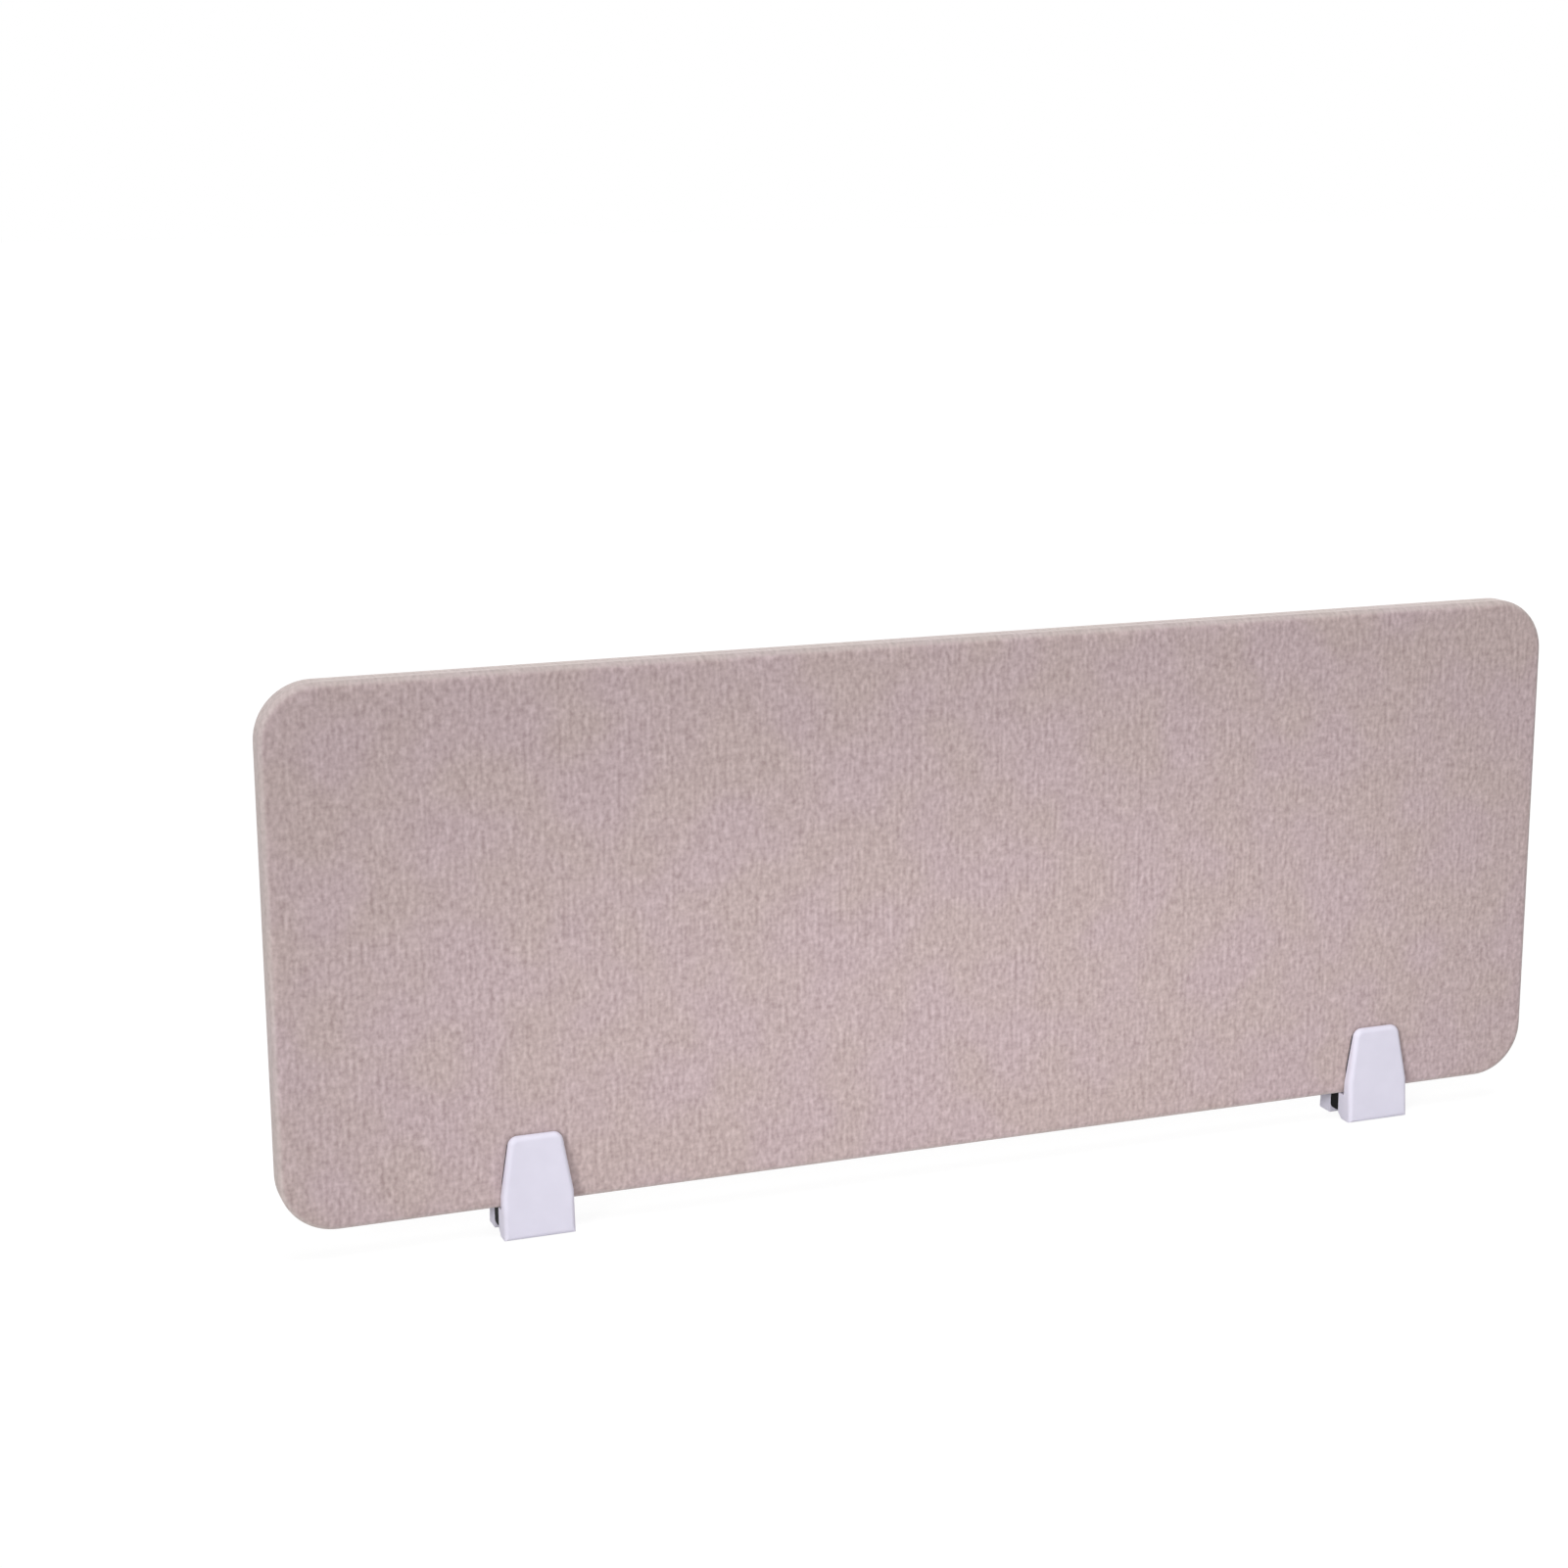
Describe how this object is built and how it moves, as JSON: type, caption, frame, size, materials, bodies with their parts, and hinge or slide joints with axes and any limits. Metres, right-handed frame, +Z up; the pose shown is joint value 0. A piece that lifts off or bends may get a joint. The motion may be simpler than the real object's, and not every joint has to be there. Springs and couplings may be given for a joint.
{
  "type": "desk privacy panel",
  "caption": "Padded, fabric-covered desk privacy panel with rounded corners, standing upright on adjustable moulded clamps with wedge-shaped jaws.",
  "frame": {"origin": "on the desk top, under the middle of the panel", "axes": "+X along the panel to its right end, +Y from the front face to the rear face, +Z up"},
  "size_m": [1.04, 0.0494, 0.422],
  "materials": {
    "fabric_cover": "matte",
    "foam": "matte",
    "fibreboard": "matte",
    "clamp_plastic": "satin",
    "bridge_nylon": "matte",
    "pad_rubber": "matte",
    "foot_rubber": "matte",
    "screw_steel": "satin",
    "nut_steel": "satin"
  },
  "bodies": {
    "panel": {"core_board": "fibreboard", "front_foam": "foam", "rear_foam": "foam", "front_cover": "fabric_cover", "rear_cover": "fabric_cover"},
    "left_clamp": {"left_front_jaw": "clamp_plastic", "left_bridge": "bridge_nylon", "left_front_grip_pad": "pad_rubber", "left_front_foot_pad": "foot_rubber", "left_nut": "nut_steel"},
    "left_clamp_rear": {"left_rear_jaw": "clamp_plastic", "left_rear_grip_pad": "pad_rubber", "left_rear_foot_pad": "foot_rubber", "left_washer": "screw_steel"},
    "left_clamp_screw": {"left_screw": "screw_steel"},
    "right_clamp": {"right_front_jaw": "clamp_plastic", "right_bridge": "bridge_nylon", "right_front_grip_pad": "pad_rubber", "right_front_foot_pad": "foot_rubber", "right_nut": "nut_steel"},
    "right_clamp_rear": {"right_rear_jaw": "clamp_plastic", "right_rear_grip_pad": "pad_rubber", "right_rear_foot_pad": "foot_rubber", "right_washer": "screw_steel"},
    "right_clamp_screw": {"right_screw": "screw_steel"}
  },
  "joints": [
    {"name": "left_clamp_shift", "type": "slide", "parent": "panel", "child": "left_clamp", "axis": [1, 0, 0], "range_m": [-0.12, 0.25]},
    {"name": "left_jaw_open", "type": "slide", "parent": "left_clamp", "child": "left_clamp_rear", "axis": [0, 1, 0], "range_m": [0, 0.005]},
    {"name": "left_screw_turn", "type": "hinge", "parent": "left_clamp_rear", "child": "left_clamp_screw", "pos_m": [-0.3323, 0.018, 0.013], "axis": [0, 1, 0], "range_deg": [0, 2250]},
    {"name": "right_clamp_shift", "type": "slide", "parent": "panel", "child": "right_clamp", "axis": [1, 0, 0], "range_m": [-0.25, 0.076]},
    {"name": "right_jaw_open", "type": "slide", "parent": "right_clamp", "child": "right_clamp_rear", "axis": [0, 1, 0], "range_m": [0, 0.005]},
    {"name": "right_screw_turn", "type": "hinge", "parent": "right_clamp_rear", "child": "right_clamp_screw", "pos_m": [0.377, 0.018, 0.013], "axis": [0, 1, 0], "range_deg": [0, 2250]}
  ],
  "couplings": [
    {"joint": "left_screw_turn", "follows": "left_jaw_open", "rad_per_m": 7854},
    {"joint": "right_screw_turn", "follows": "right_jaw_open", "rad_per_m": 7854}
  ]
}
